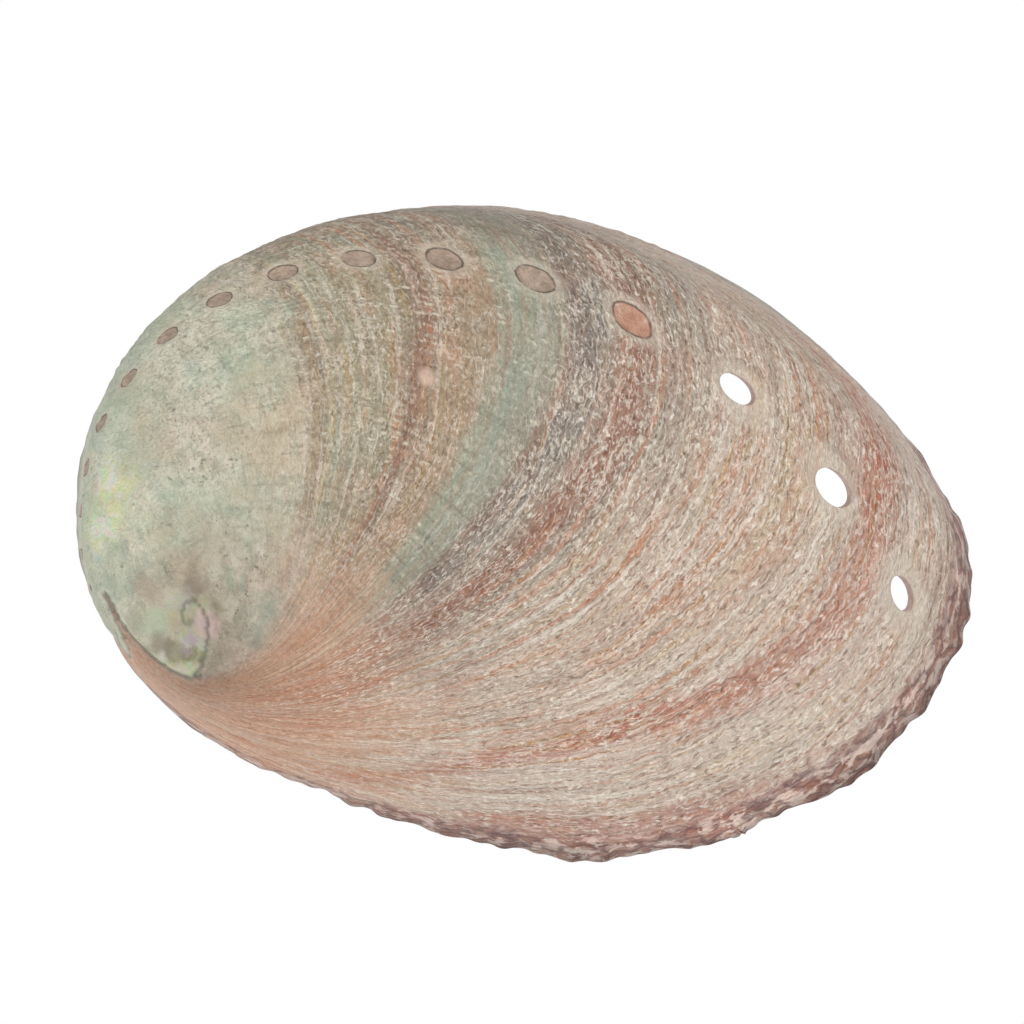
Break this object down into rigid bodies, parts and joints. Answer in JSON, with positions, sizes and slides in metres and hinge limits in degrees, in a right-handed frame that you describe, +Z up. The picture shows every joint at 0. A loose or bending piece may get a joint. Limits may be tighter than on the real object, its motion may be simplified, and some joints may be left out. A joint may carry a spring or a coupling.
{
  "type": "abalone shell",
  "caption": "Ear-shaped shell: one wide low whorl from a small side spire, hollow below, with a curved row of breathing pores and a scaly growing edge.",
  "frame": {"origin": "middle of the shell's plan outline, on the ground plane that the rim rests on", "axes": "+X along the longest extent towards the growing front end, +Z up out of the domed back, spire at -X -Y, pore row on the +Y side"},
  "size_m": [0.0893, 0.0624, 0.0226],
  "materials": {
    "shell": "worn natural shell, softly glossy, pearly inside"
  },
  "bodies": {
    "root": {"abalone_shell": "shell"}
  },
  "joints": []
}
